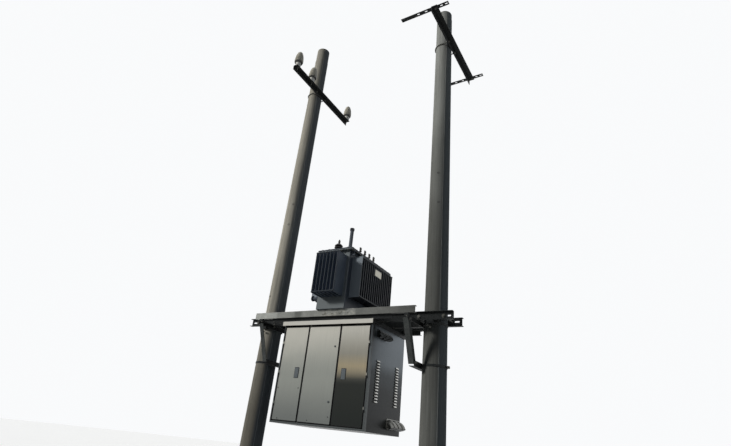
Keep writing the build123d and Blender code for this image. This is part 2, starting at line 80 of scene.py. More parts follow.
def toned(base, step=0, share=1.0):
    """Linear colour of display values that are scaled by a share and shifted by a step."""
    return srgb(*[min(max(v * share + step, 0), PALEST) for v in base])


class Finish:
    """A node material with short calls for the textures that the pieces share."""

    def __init__(self, name, roughness, metallic=0.0, coat=0.0, specular=0.5):
        self.material = bpy.data.materials.new(name)
        self.material.use_nodes = True
        self.tree = self.material.node_tree
        self.shader = self.tree.nodes["Principled BSDF"]
        self.shader.inputs["Roughness"].default_value = roughness
        self.shader.inputs["Metallic"].default_value = metallic
        self.shader.inputs["Coat Weight"].default_value = coat
        self.shader.inputs["Specular IOR Level"].default_value = specular
        self.place = self.tree.nodes.new("ShaderNodeTexCoord").outputs["Object"]

    def link(self, source, socket):
        self.tree.links.new(source, socket)

    def noise(self, scale, detail, stretch=(1, 1, 1), rough=0.55, warp=0.0):
        node = self.tree.nodes.new("ShaderNodeTexNoise")
        node.inputs["Scale"].default_value = scale
        node.inputs["Detail"].default_value = detail
        node.inputs["Roughness"].default_value = rough
        node.inputs["Distortion"].default_value = warp
        mapping = self.tree.nodes.new("ShaderNodeMapping")
        mapping.inputs["Scale"].default_value = stretch
        self.link(self.place, mapping.inputs["Vector"])
        self.link(mapping.outputs["Vector"], node.inputs["Vector"])
        return node.outputs["Fac"]

    def cells(self, scale, output="Distance"):
        node = self.tree.nodes.new("ShaderNodeTexVoronoi")
        node.inputs["Scale"].default_value = scale
        self.link(self.place, node.inputs["Vector"])
        return node.outputs[output]

    def along(self, axis, low, high):
        """0 at low and 1 at high along one axis of the part's frame."""
        split = self.tree.nodes.new("ShaderNodeSeparateXYZ")
        self.link(self.place, split.inputs[0])
        reach = self.tree.nodes.new("ShaderNodeMapRange")
        reach.inputs["From Min"].default_value = low
        reach.inputs["From Max"].default_value = high
        self.link(split.outputs[axis], reach.inputs["Value"])
        return reach.outputs["Result"]

    def math(self, kind, first, second):
        node = self.tree.nodes.new("ShaderNodeMath")
        node.operation = kind
        node.use_clamp = True
        for index, value in enumerate((first, second)):
            if isinstance(value, (int, float)):
                node.inputs[index].default_value = value
            else:
                self.link(value, node.inputs[index])
        return node.outputs[0]

    def ramp(self, source, stops, easing="LINEAR"):
        node = self.tree.nodes.new("ShaderNodeValToRGB")
        node.color_ramp.interpolation = easing
        points = node.color_ramp.elements
        while len(points) < len(stops):
            points.new(0.5)
        for point, (spot, value) in zip(points, stops):
            point.position = spot
            point.color = value if isinstance(value, tuple) else (value, value, value, 1.0)
        self.link(source, node.inputs["Fac"])
        return node.outputs["Color"]

    def mix(self, amount, first, second, kind="MIX"):
        node = self.tree.nodes.new("ShaderNodeMix")
        node.data_type = "RGBA"
        node.blend_type = kind
        for socket, value in ((node.inputs[0], amount), (node.inputs[6], first),
                              (node.inputs[7], second)):
            if isinstance(value, (int, float, tuple)):
                socket.default_value = value
            else:
                self.link(value, socket)
        return node.outputs[2]

    def over(self, colour, source, first, last, tint):
        """Tint laid over a colour by a texture, between two pairs of spot and strength."""
        return self.mix(self.ramp(source, [first, last]), colour, tint)

    def tinted(self, colour, mask, strength, tint):
        """Tint laid over a colour with a strength where the mask is 1."""
        return self.mix(self.math("MULTIPLY", mask, strength), colour, srgb(*tint))

    def colour(self, source):
        self.link(source, self.shader.inputs["Base Color"])

    def roughness(self, source, low, high):
        reach = self.tree.nodes.new("ShaderNodeMapRange")
        reach.inputs["To Min"].default_value = low
        reach.inputs["To Max"].default_value = high
        self.link(source, reach.inputs["Value"])
        self.link(reach.outputs["Result"], self.shader.inputs["Roughness"])

    def bump(self, source, depth, strength):
        node = self.tree.nodes.new("ShaderNodeBump")
        node.inputs["Strength"].default_value = strength
        node.inputs["Distance"].default_value = depth
        self.link(source, node.inputs["Height"])
        old = self.shader.inputs["Normal"].links
        if old:
            self.link(old[0].from_socket, node.inputs["Normal"])
        self.link(node.outputs["Normal"], self.shader.inputs["Normal"])


def concrete_finish(name, base, shade_by_height, shaded_side_tint):
    """Spun concrete: cloudy grey, streaks, grain, air pits, a tone by height that is painted shade,
    and a tint on the shaded side that is painted light and shade.
    """
    finish = Finish(name, roughness=0.88, specular=0.12)
    cloud = finish.noise(2.2, 6, (1, 1, 0.35))
    colour = finish.ramp(cloud, [(0.30, toned(base, -18)), (0.52, toned(base)),
                                 (0.74, toned(base, 14))])
    streak = finish.noise(26, 5, (1, 1, 0.035))
    colour = finish.over(colour, streak, (0.46, 0.0), (0.72, 0.55), srgb(98, 98, 95))
    grain = finish.noise(240, 3)
    colour = finish.over(colour, grain, (0.38, 0.30), (0.56, 0.0), srgb(92, 91, 87))
    pits = finish.ramp(finish.cells(62), [(0.07, 0.75), (0.12, 0.0)])
    colour = finish.mix(pits, colour, srgb(58, 58, 56))
    # Darker by height where shade falls on the pole: painted shade
    top = shade_by_height[-1][0]
    tone = finish.ramp(finish.along("Z", 0.0, top),
                       [(height / top, share) for height, share in shade_by_height])
    colour = finish.mix(1.0, colour, tone, "MULTIPLY")
    # Tint on the pole's shaded side: painted shade on the left pole, painted light on the right
    # pole
    start, end, tint = shaded_side_tint
    colour = finish.tinted(colour, finish.along("X", start, end), 0.7, tint)
    finish.colour(colour)
    finish.bump(grain, 0.0014, 0.5)
    finish.bump(finish.ramp(finish.cells(62), [(0.06, 0.0), (0.13, 1.0)]), 0.002, 0.6)
    return finish.material


PATCH_FADE = 0.04


def galvanised_finish(name, base, dirt, zones=None, patch=None):
    """Dull hot-dip zinc: spangle, white rust clouds, run-down dirt and scuffs; if asked, a tone
    along X that is partly stains and partly painted shade, and a patch of pale flakes and brown
    marks.
    """
    finish = Finish(name, roughness=0.55, metallic=0.3, specular=0.2)
    spangle = finish.cells(95, output="Color")
    grey = finish.ramp(spangle, [(0.1, toned(base, -9)), (0.9, toned(base, 9))])
    cloud = finish.noise(7, 6, (1, 1, 1), 0.65, 0.6)
    colour = finish.over(grey, cloud, (0.42, 0.0), (0.70, 0.75), srgb(*dirt))
    bloom = finish.noise(34, 5, (1, 1, 1), 0.7)
    colour = finish.over(colour, bloom, (0.60, 0.0), (0.78, 0.4), toned(base, 34))
    rust = finish.noise(15, 7, (1, 1, 1), 0.75, 1.2)
    colour = finish.over(colour, rust, (0.69, 0.0), (0.76, 0.6), srgb(84, 62, 44))
    # Tone along X: partly stains, partly painted shade
    if zones:
        start, end = zones[0][0], zones[-1][0]
        tone = finish.ramp(finish.along("X", start, end),
                           [((place - start) / (end - start), share) for place, share in zones])
        colour = finish.mix(1.0, colour, tone, "MULTIPLY")
    if patch:
        start, end = patch
        inside = finish.math("MULTIPLY", finish.along("X", start, start + PATCH_FADE),
                             finish.along("X", end, end - PATCH_FADE))
        flakes = finish.noise(16, 5, (1, 1, 1.6), 0.6, 1.0)
        pale = finish.ramp(flakes, [(0.50, 0.0), (0.56, 0.7)])
        colour = finish.mix(finish.math("MULTIPLY", inside, pale), colour, srgb(178, 177, 168))
        brown = finish.ramp(finish.noise(22, 5), [(0.56, 0.0), (0.62, 0.7)])
        colour = finish.mix(finish.math("MULTIPLY", inside, brown), colour, srgb(86, 80, 70))
    finish.colour(colour)
    finish.roughness(cloud, 0.42, 0.72)
    finish.bump(finish.noise(160, 4), 0.0008, 0.4)
    return finish.material


# Heights between which a sheet's painted reflection and shade change, and the painted shadow in the
# upper front corner of the side wall
SHEET_FOOT, SHEET_HEAD = 1.80, 2.99
SHADOW_CORNER_DEPTH = (-0.26, -0.38)
SHADOW_CORNER_HEIGHT = (2.46, 2.86)


def stainless_finish(name, stops, roughness, grain=(420, 420, 3), metallic=0.85, warm_reflection=None,
                     side=None, rim=None, edge=None, corner=None):
    """Brushed sheet: fine grain and a few scuffs over a tone by height that is painted reflection
    and shade; if asked, a warm band of painted reflection, a dark side of painted shade, a front
    flange tone of painted light, a pale edge of painted highlight and a corner of painted shadow.
    """
    finish = Finish(name, roughness=roughness, metallic=metallic)
    # Pale up high and dark low down: painted reflection of the sky and painted shade
    height = finish.along("Z", SHEET_FOOT, SHEET_HEAD)
    cloud = finish.noise(1.6, 3, (1, 1, 1.4))
    drift = finish.math("SUBTRACT", finish.math("MULTIPLY", cloud, 0.24), 0.12)
    level = finish.math("ADD", height, drift)
    colour = finish.ramp(level, [(spot, srgb(*tint)) for spot, tint in stops], "EASE")
    # Warm band across the sheet: painted reflection
    if warm_reflection:
        low, high, tint = warm_reflection
        middle = (low + high) / 2
        band = finish.math("MULTIPLY", finish.along("Z", low, middle),
                           finish.along("Z", high, middle))
        colour = finish.tinted(colour, band, 0.7, tint)
    # Dark strip on one side: painted shade
    if side:
        colour = finish.tinted(colour, finish.along("X", *side), 1.0, (34, 36, 38))
    # Own grey for the wall's front flange, which faces another way than the side face: painted
    # light level
    if rim:
        colour = finish.tinted(colour, finish.along("Y", *rim), 0.6, (98, 102, 102))
    # Pale strip along an edge: painted highlight
    if edge:
        colour = finish.tinted(colour, finish.along("X", *edge), 0.5, (178, 176, 168))
    # Darker upper front corner: painted shadow
    if corner:
        dark = finish.math("MULTIPLY", finish.along("Y", *SHADOW_CORNER_DEPTH),
                           finish.along("Z", *SHADOW_CORNER_HEIGHT))
        colour = finish.tinted(colour, dark, corner, (22, 24, 26))
    brush = finish.noise(1.0, 4, grain, 0.6)
    colour = finish.over(colour, brush, (0.35, 0.13), (0.62, 0.0), toned(stops[0][1], share=0.72))
    scuff = finish.noise(90, 5, (1, 1, 0.25), 0.7, 1.5)
    colour = finish.over(colour, scuff, (0.70, 0.0), (0.80, 0.30), toned(stops[-1][1], share=1.5))
    finish.colour(colour)
    finish.roughness(brush, roughness - 0.06, roughness + 0.10)
    finish.bump(brush, 0.0003, 0.25)
    return finish.material


def paint_finish(name, base, roughness=0.42, dusty=True, face=None):
    """Slate machine paint: faint orange peel, rain marks and pale dust."""
    finish = Finish(name, roughness=roughness, coat=0.04, specular=0.3)
    cloud = finish.noise(5, 5, (1, 1, 0.5))
    colour = finish.ramp(cloud, [(0.35, toned(base, -6)), (0.70, toned(base, 7))])
    if dusty:
        streak = finish.noise(60, 4, (1, 1, 0.05))
        colour = finish.over(colour, streak, (0.52, 0.0), (0.78, 0.35), srgb(104, 108, 110))
        speck = finish.noise(130, 5, (1, 1, 1), 0.7)
        colour = finish.over(colour, speck, (0.66, 0.0), (0.76, 0.45), srgb(122, 122, 116))
    if face:
        axis, start, end, tint = face
        colour = finish.tinted(colour, finish.along(axis, start, end), 1.0, tint)
    finish.colour(colour)
    finish.roughness(cloud, roughness - 0.08, roughness + 0.14)
    finish.bump(finish.noise(330, 2), 0.0004, 0.3)
    return finish.material


def glaze_finish(name, base, spread):
    """Fired glaze with a faint cloud and road dust in the grooves."""
    finish = Finish(name, roughness=0.22, coat=0.1, specular=0.3)
    cloud = finish.noise(24, 4)
    colour = finish.ramp(cloud, [(0.3, toned(base, -spread)), (0.7, toned(base, spread))])
    dust = finish.noise(70, 5, (1, 1, 0.4), 0.7)
    colour = finish.over(colour, dust, (0.58, 0.0), (0.74, 0.35), srgb(120, 116, 106))
    finish.colour(colour)
    finish.roughness(dust, 0.22, 0.47)
    finish.bump(finish.noise(200, 2), 0.0003, 0.2)
    return finish.material


def insulator_finish():
    """Post insulator: pale base, dark cement ring, weathered grey-brown sheds."""
    finish = Finish("post_insulator_glaze", roughness=0.4, coat=0.15)
    low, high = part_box("post_insulators")
    pale = srgb(236, 235, 228)
    cement = srgb(44, 44, 44)
    colour = finish.ramp(finish.along("Z", low.z, high.z), [
        (0.00, pale), (0.238, pale), (0.243, cement), (0.300, cement),
        (0.306, srgb(176, 172, 158)), (1.0, srgb(206, 200, 184))])
    grime = finish.noise(30, 5, (1, 1, 0.3), 0.7)
    colour = finish.over(colour, grime, (0.45, 0.0), (0.75, 0.5), srgb(104, 100, 90))
    finish.colour(colour)
    finish.roughness(grime, 0.3, 0.6)
    finish.bump(finish.noise(150, 3), 0.0005, 0.3)
    return finish.material


# Edges where a sheet or a coat of paint changes its tone, most of them painted highlight, light or
# shade, and where each change starts and ends
HINGE_REACH = 0.012
EDGE_HIGHLIGHT_WIDTH = 0.006
RIM_START, RIM_END = 0.038, 0.030
LID_START, LID_END = 0.002, 0.0005
FLANGE_OVERHANG = 0.050
FACE_START, FACE_END = 0.003, 0.001
FIN_LIP_START, FIN_LIP_END = 0.018, 0.010
CAP_START, CAP_END = 0.034, 0.032
RIGHT_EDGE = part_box("right_door")[1].x - HINGE_REACH
WALL_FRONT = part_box("cabinet_right_side")[0].y
LID_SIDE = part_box("cabinet_lid")[1].x
TANK_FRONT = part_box("transformer_tank")[0].y + FLANGE_OVERHANG
FIN_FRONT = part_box("front_fins")[0].y
FIN_SIDE_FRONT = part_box("right_fins")[0].y
FILLER_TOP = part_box("oil_filler_pipe")[1].z

# The pieces' finishes, with painted light and shade where noted
# Left pole: darker below the platform and bluish grey on its shaded side, painted shade
CONCRETE = concrete_finish("spun_concrete", (184, 180, 168),
                           [(0.0, 0.48), (2.3, 0.46), (2.7, 0.52), (3.1, 1.0), (8.4, 1.0)],
                           (0.075, 0.11, (112, 120, 128)))
# Right pole: a darker copy of the concrete, painted shade, darker low down, with a paler tint on
# its shaded side, painted light
SHADED_CONCRETE = concrete_finish("shaded_concrete", (150, 152, 148),
                               [(0.0, 0.54), (2.0, 0.54), (2.6, 0.46), (4.4, 0.46), (5.2, 0.62),
                                (5.9, 0.95), (8.2, 1.0)],
                               (2.575, 2.61, (134, 140, 142)))
GALVANISED = galvanised_finish("dull_galvanised", (74, 77, 76), (48, 51, 51))
# Darker copy of the zinc for the platform's underside, hoops and crossarms: painted shade
SHADED_STEEL = galvanised_finish("shaded_steel", (44, 46, 46), (32, 34, 35))
# Front beam: a far paler copy of the zinc, painted sheen, toned down in stretches along X that are
# partly stains and partly painted shade; the flaky patch is its own
BEAM_STAINS_AND_SHADE = ((0.02, 0.82), (0.42, 0.86), (0.46, 0.58), (0.72, 0.55), (0.755, 0.32), (0.83, 0.34),
              (0.88, 0.58), (1.12, 0.52), (1.16, 0.54), (1.64, 0.54), (1.67, 0.37), (2.10, 0.28),
              (2.48, 0.15), (2.55, 0.13))
BEAM_PATCH = (1.14, 1.67)
BEAM = galvanised_finish("front_beam_galvanised", (198, 200, 194), (170, 173, 169),
                         zones=BEAM_STAINS_AND_SHADE, patch=BEAM_PATCH)
FASTENER = galvanised_finish("fastener_zinc", (112, 112, 107), (66, 65, 60))
# Cabinet sheets: pale at the top and dark at the bottom, painted reflection, sheen and shade; the
# right door's tone splits sharply like a reflected horizon
DOOR_SHEET = stainless_finish("brushed_sheet", [(0.0, (112, 115, 112)), (0.45, (147, 149, 142)),
                                                (1.0, (198, 195, 184))], 0.40)
RIGHT_SHEET = stainless_finish("polished_sheet", [(0.0, (38, 41, 39)), (0.38, (45, 47, 44)),
                                                  (0.60, (137, 134, 123)),
                                                  (1.0, (192, 189, 179))], 0.30,
                               warm_reflection=(2.32, 2.60, (168, 153, 122)),
                               edge=(RIGHT_EDGE - EDGE_HIGHLIGHT_WIDTH, RIGHT_EDGE))
WALL_SHEET = stainless_finish("side_sheet", [(0.0, (18, 20, 20)), (0.34, (26, 29, 30)),
                                             (0.50, (44, 49, 52)), (0.66, (94, 101, 106)),
                                             (1.0, (104, 111, 117))], 0.34,
                              rim=(WALL_FRONT + RIM_START, WALL_FRONT + RIM_END), corner=0.7)
# Lid: its right side flange darkened, painted shade
LID_SHEET = stainless_finish("lid_sheet", [(0.0, (160, 160, 154)), (1.0, (197, 194, 185))],
                             0.42, grain=(3, 420, 420),
                             side=(LID_SIDE - LID_START, LID_SIDE - LID_END))
HANDLE_SHEET = stainless_finish("handle_metal", [(0.0, (84, 90, 93)), (1.0, (106, 112, 115))],
                                0.45, metallic=0.6)
# Louvre lips: a far paler copy of the side sheet, painted highlight
LIP_HIGHLIGHT = stainless_finish("lip_highlight_sheet", [(0.0, (196, 196, 190)), (1.0, (206, 206, 200))],
                              0.22, metallic=1.0)
ELBOW_SHEET = stainless_finish("elbow_sheet", [(0.0, (124, 124, 120)), (1.0, (136, 136, 131))],
                               0.26)
# Upper elbows: a darker copy of the elbow sheet, painted shade under the platform
SHADED_ELBOW = stainless_finish("shaded_elbow_sheet", [(0.0, (44, 46, 46)), (1.0, (52, 54, 54))],
                              0.2, metallic=0.9)
# Near black sheet for the top rail and mullions: painted shade in the gaps under the lid and
# between the leaves
GAP_SHADE = stainless_finish("gap_shade_sheet", [(0.0, (12, 13, 14)), (1.0, (18, 19, 20))], 0.7,
                        metallic=0.1)
SLATE = paint_finish("slate_paint", (62, 68, 78))
# Tank: its front wall tinted paler, painted light on a face in shade
TANK_PAINT = paint_finish("tank_paint", (56, 64, 74),
                          face=("Y", TANK_FRONT + FACE_START, TANK_FRONT + FACE_END,
                                (112, 118, 120)))
# Front and rear fins: a paler copy of the tank paint with darker front lips, and side fins a darker
# copy with a paler front face: painted light and shade
FRONT_FIN_PAINT = paint_finish("front_fin_paint", (96, 107, 122),
                               face=("Y", FIN_FRONT + FIN_LIP_START, FIN_FRONT + FIN_LIP_END,
                                     (40, 46, 53)))
SIDE_FIN_PAINT = paint_finish("side_fin_paint", (42, 48, 55),
                              face=("Y", FIN_SIDE_FRONT + FACE_START,
                                    FIN_SIDE_FRONT + FACE_END, (132, 140, 147)))
FILLER_PAINT = paint_finish("filler_paint", (82, 88, 96),
                            face=("Z", FILLER_TOP - CAP_START, FILLER_TOP - CAP_END,
                                  (24, 26, 28)))
DARK_GLAZE = glaze_finish("dark_glaze", (14, 14, 16), 5)
BLACK = paint_finish("black_hardware", (28, 29, 30), 0.5, dusty=False)
RUBBER = paint_finish("dark_rubber", (20, 20, 21), 0.7, dusty=False)
PLATE = stainless_finish("bare_plate", [(0.0, (184, 182, 170)), (1.0, (192, 189, 177))], 0.45)
TERMINAL = stainless_finish("terminal_metal", [(0.0, (70, 68, 64)), (1.0, (74, 72, 68))], 0.4)
INSULATOR = insulator_finish()

NODE_FINISH = {
    "left_pole": CONCRETE, "right_pole": SHADED_CONCRETE,
    "left_crossarm": SHADED_STEEL, "right_crossarm": SHADED_STEEL, "cross_straps": SHADED_STEEL,
    "hanger_rails": SHADED_STEEL, "front_main_beam": SHADED_STEEL, "rear_main_beam": SHADED_STEEL,
    "cross_ties": SHADED_STEEL, "upper_hoops": SHADED_STEEL, "lower_hoops": SHADED_STEEL,
    "front_platform_beam": BEAM,
    "left_door": DOOR_SHEET, "centre_door": DOOR_SHEET, "right_door": RIGHT_SHEET,
    "cabinet_left_side": WALL_SHEET, "cabinet_right_side": WALL_SHEET,
    "cabinet_back": WALL_SHEET, "cabinet_base": WALL_SHEET,
    # Top rail and mullions near black: painted shade in the gaps
    "cabinet_top_rail": GAP_SHADE, "cabinet_mullions": GAP_SHADE,
    "cabinet_lid": LID_SHEET,
    # Handle bodies black, showing as a dark outline round the latch plates: painted shade of the
    # recess
    "left_door_handle": BLACK, "right_door_handle": BLACK,
    "door_hinges": BLACK, "centre_door_locks": BLACK,
    "upper_cable_elbows": SHADED_ELBOW, "lower_cable_elbows": ELBOW_SHEET,
    "transformer_tank": TANK_PAINT, "transformer_lid": SLATE,
    "front_fins": FRONT_FIN_PAINT, "rear_fins": FRONT_FIN_PAINT, "left_fins": SIDE_FIN_PAINT,
    "right_fins": SIDE_FIN_PAINT,
    "oil_filler_pipe": FILLER_PAINT, "lifting_lugs": SLATE, "drain_valve": SLATE,
    "high_voltage_bushings": DARK_GLAZE, "low_voltage_bushings": DARK_GLAZE,
    "rating_plate": PLATE, "post_insulators": INSULATOR,
}
for name, item in nodes.items():
    item.data.materials.clear()
    item.data.materials.append(NODE_FINISH.get(name, GALVANISED))


def turned_to(direction):
    """Rotation that takes Z to a direction."""
    return Z.rotation_difference(Vector(direction).normalized()).to_matrix().to_4x4()


def around(radius, count, start=0.0):
    """Even places on a circle, from the angle start."""
    angles = [start + math.tau * k / count for k in range(count)]
    return [(radius * math.cos(angle), radius * math.sin(angle)) for angle in angles]


class Row:
    """Many small solids gathered into one named piece."""

    def __init__(self):
        self.mesh = bmesh.new()

    def prism(self, place, direction, radius, length, sides=24, top=None, twist=0.0):
        """Prism or cone that grows from place along direction."""
        turn = Matrix.Translation(Vector(place)) @ turned_to(direction)
        turn = turn @ Matrix.Rotation(twist, 4, "Z") @ Matrix.Translation((0, 0, length / 2))
        bmesh.ops.create_cone(self.mesh, cap_ends=True, segments=sides, radius1=radius,
                              radius2=radius if top is None else top, depth=length,
                              matrix=turn)

    def hexagon(self, place, direction, across, length, twist=0.0):
        """Hexagon head or nut with a chamfered outer rim."""
        corner = across / math.sqrt(3)
        body = length * 0.82
        self.prism(place, direction, corner, body, 6, twist=twist)
        tip = Vector(place) + Vector(direction).normalized() * body
        self.prism(tip, direction, corner, length - body, 6, corner * 0.86, twist)

    def bolt(self, place, direction, size, grip=0.0, tail=0.0):
        """Washer and hexagon head at place, a shank back through grip, and a nut there."""
        out = Vector(direction).normalized()
        place = Vector(place)
        twist = steady.uniform(0, math.pi / 3)
        washer = size * 0.18
        self.prism(place, out, size * 1.15, washer)
        self.hexagon(place + out * washer, out, size * 1.6, size * 0.62, twist)
        if grip:
            far = place - out * grip
            self.prism(far, out, size / 2, grip, 16)
            self.prism(far, -out, size * 1.15, washer)
            self.hexagon(far - out * washer, -out, size * 1.6, size * 0.8, twist)
            if tail:
                self.prism(far, -out, size / 2, size + tail, 16)

    def slab(self, low, high, bevel=0.0):
        """Block between two corners, with its edges eased."""
        low, high = Vector(low), Vector(high)
        size = high - low
        turn = Matrix.Translation((low + high) / 2) @ Matrix.Diagonal((*size, 1))
        made = bmesh.ops.create_cube(self.mesh, size=1, matrix=turn)["verts"]
        if bevel:
            edges = list({e for v in made for e in v.link_edges})
            bmesh.ops.bevel(self.mesh, geom=edges, offset=bevel, segments=2,
                            affect="EDGES", profile=0.6)

    def skin(self, rings):
        """Walls from each ring of points to the next, and a cap at both ends."""
        rings = [[self.mesh.verts.new(point) for point in ring] for ring in rings]
        count = len(rings[0])
        for low, high in zip(rings, rings[1:]):
            for k in range(count):
                after = (k + 1) % count
                self.mesh.faces.new((low[k], low[after], high[after], high[k]))
        self.mesh.faces.new(list(reversed(rings[0])))
        self.mesh.faces.new(rings[-1])

    def tube(self, path, radius, sides=14):
        """Round rod that follows a list of points."""
        points = [Vector(point) for point in path]
        rings = []
        for index, point in enumerate(points):
            before = points[max(index - 1, 0)]
            after = points[min(index + 1, len(points) - 1)]
            turn = turned_to(after - before)
            rings.append([point + turn @ Vector((x, y, 0)) for x, y in around(radius, sides)])
        self.skin(rings)

    def turned(self, place, direction, outline, sides=40):
        """Solid of revolution from pairs of radius and height along direction."""
        turn = Matrix.Translation(Vector(place)) @ turned_to(direction)
        self.skin([[turn @ Vector((x, y, height)) for x, y in around(radius, sides)]
                   for radius, height in outline])

    def piece(self, name, finish, body=STATION, smooth=False):
        """Finish the row as one object that moves with a body."""
        bmesh.ops.recalc_face_normals(self.mesh, faces=self.mesh.faces)
        data = bpy.data.meshes.new(name)
        self.mesh.to_mesh(data)
        self.mesh.free()
        item = bpy.data.objects.new(name, data)
        bpy.context.scene.collection.objects.link(item)
        data.materials.append(finish)
        if smooth:
            data.shade_smooth()
            data.set_sharp_from_angle(angle=math.radians(35))
        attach(item, body)


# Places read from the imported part
left_low, left_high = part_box("left_pole")
right_low, right_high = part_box("right_pole")
front_low, front_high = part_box("front_main_beam")
rear_low, rear_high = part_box("rear_main_beam")
outer_low, outer_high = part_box("front_platform_beam")
back_low, back_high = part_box("rear_platform_beam")
tie_low, tie_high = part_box("cross_ties")
hoop_low, hoop_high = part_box("lower_hoops")
rail_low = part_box("hanger_rails")[0]
lid_low, lid_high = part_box("transformer_lid")
hv_low, hv_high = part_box("high_voltage_bushings")
lv_low, lv_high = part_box("low_voltage_bushings")
plate_low, plate_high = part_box("rating_plate")
filler_low, filler_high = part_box("oil_filler_pipe")
valve_low, valve_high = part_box("drain_valve")
base_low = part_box("cabinet_base")[0]
back_wall_low, back_wall_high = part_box("cabinet_back")
locks_low, locks_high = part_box("centre_door_locks")
post_low, post_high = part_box("post_insulators")
arm_low, arm_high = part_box("left_crossarm")
far_arm_low, far_arm_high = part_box("right_crossarm")
strap_low, strap_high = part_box("cross_straps")

POLE_X = {"left": (left_low.x + left_high.x) / 2, "right": (right_low.x + right_high.x) / 2}
POLE_TOP = {"left": left_high.z, "right": right_high.z}
CAP_HEIGHT = {"left": 0.280, "right": 0.130}
POLE_FINISH = {"left": CONCRETE, "right": SHADED_CONCRETE}
FOOT_RADIUS = (left_high.x - left_low.x) / 2
TAPER = 1 / 280
BEAM_WALL = 0.006
LIGHT_WALL = 0.005
M20, M16, M12, M10, M8, M6 = 0.020, 0.016, 0.012, 0.010, 0.008, 0.006


def pole_radius(height):
    return FOOT_RADIUS - height * TAPER


def outward(degrees):
    """Level direction at an angle from X."""
    turn = math.radians(degrees)
    return Vector((math.cos(turn), math.sin(turn), 0))


def spaced(low, high, inset, count):
    """Even places between two limits, from one inset to the other."""
    step = (high - low - 2 * inset) / (count - 1)
    return [low + inset + index * step for index in range(count)]


# Mould seams down both poles, a low ridge on two opposite sides
SEAM_FACING = {"left": -34, "right": -48}
SEAM_SINK = 0.003
SEAM_FOOT = 0.007
SEAM_CREST = 0.003
SEAM_RISE = 0.0052
SEAM_BELOW_CAP = 0.01
for side, facing in SEAM_FACING.items():
    seams = Row()
    for turn in (facing, facing + 180):
        across = outward(turn)
        along = Vector((-across.y, across.x, 0))
        ends = []
        for height in (0.0, POLE_TOP[side] - CAP_HEIGHT[side] - SEAM_BELOW_CAP):
            foot = Vector((POLE_X[side], 0, height)) + across * (pole_radius(height) - SEAM_SINK)
            crest = foot + across * SEAM_RISE
            ends.append([foot - along * SEAM_FOOT, foot + along * SEAM_FOOT,
                         crest + along * SEAM_CREST, crest - along * SEAM_CREST])
        seams.skin(ends)
    seams.piece(f"{side}_pole_seams", POLE_FINISH[side])

# Collar at each pole tip
for side in POLE_X:
    caps = Row()
    level = POLE_TOP[side] - CAP_HEIGHT[side]
    proud = pole_radius(level) + 0.0005
    sunk = pole_radius(level) - 0.006
    caps.turned((POLE_X[side], 0, level), Z,
                [(sunk, -0.012), (proud, -0.010), (proud, 0.004), (sunk, 0.010)], 64)
    caps.piece(f"{side}_pole_collar", POLE_FINISH[side], smooth=True)

# Earthing sockets and old fixing holes in the poles: side, angle and height
SOCKET_PLACES = (("left", -110, 3.46), ("left", -70, 4.62), ("left", -64, 4.98),
                 ("right", -72, 4.56), ("right", -78, 5.00), ("right", -80, 1.10))
SOCKET_SINK = 0.006
SOCKET_OUTLINE = [(0.014, 0.0), (0.014, 0.0072), (0.010, 0.0078), (0.0085, 0.0045),
                  (0.001, 0.0045)]
pits = Row()
for side, facing, height in SOCKET_PLACES:
    across = outward(facing)
    face = Vector((POLE_X[side], 0, height)) + across * (pole_radius(height) - SOCKET_SINK)
    pits.turned(face, across, SOCKET_OUTLINE, 24)
pits.piece("pole_sockets", BLACK, smooth=True)

# Long bolts that squeeze the main beams on the poles, and the bolts of the hoops under them
CLAMP_OUT = 0.016
UPPER_HOOP_BOLT_OUT = 0.03
UPPER_HOOP_BOLT_DROP = 0.075
clamps = Row()
bolt_z = (front_low.z + front_high.z) / 2
front_face = front_high.y - BEAM_WALL
rear_face = rear_low.y + BEAM_WALL
for pole_x in POLE_X.values():
    for way in (-1, 1):
        x = pole_x + way * (pole_radius(bolt_z) + CLAMP_OUT)
        clamps.bolt((x, front_face, bolt_z), AHEAD, M20, rear_face - front_face, 0.03)
    for way in (-1, 1):
        y = way * (pole_radius(hoop_low.z) + UPPER_HOOP_BOLT_OUT)
        clamps.bolt((pole_x, y, front_low.z - UPPER_HOOP_BOLT_DROP), -Z, M16)
clamps.piece("main_beam_bolts", FASTENER, smooth=True)

# Bolts of the outer beams, ties, braces and rails
TIE_BOLT_IN = 0.025
OUTER_BOLT_IN = 0.022
MAIN_BOLT_IN = 0.030
BRACE_BOLT_IN = 0.030
BRACE_FOOT_OUT = 0.212
BRACE_FOOT_RISE = 0.040
RAIL_WALL = 0.004
RAIL_BOLT_IN = 0.020
RAIL_BOLT_PLACES = (0.60, 1.00, 1.50, 1.90)
frame_bolts = Row()
for tie_x in (tie_low.x + TIE_BOLT_IN, tie_high.x - TIE_BOLT_IN):
    for face_y in (outer_low.y + OUTER_BOLT_IN, back_high.y - OUTER_BOLT_IN):
        frame_bolts.bolt((tie_x, face_y, tie_high.z - TIE_BOLT_IN), -Z, M16)
        frame_bolts.bolt((tie_x, face_y, outer_low.z + LIGHT_WALL), Z, M16)
    for face_y in (front_low.y + MAIN_BOLT_IN, rear_high.y - MAIN_BOLT_IN):
        frame_bolts.bolt((tie_x, face_y, front_low.z + BEAM_WALL), Z, M16,
                         BEAM_WALL + LIGHT_WALL, 0.01)
for side, toward in (("left", 1), ("right", -1)):
    brace_low, brace_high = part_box(f"{side}_knee_braces")
    inner_face = brace_low.x if toward > 0 else brace_high.x
    bolt_x = inner_face + toward * LIGHT_WALL
    for way in (-1, 1):
        foot = (bolt_x, way * BRACE_FOOT_OUT, hoop_low.z + BRACE_FOOT_RISE)
        head = (bolt_x, way * (brace_high.y - BRACE_BOLT_IN), brace_high.z - BRACE_BOLT_IN)
        for spot in (foot, head):
            frame_bolts.bolt(spot, (toward, 0, 0), M16, 0.012, 0.008)
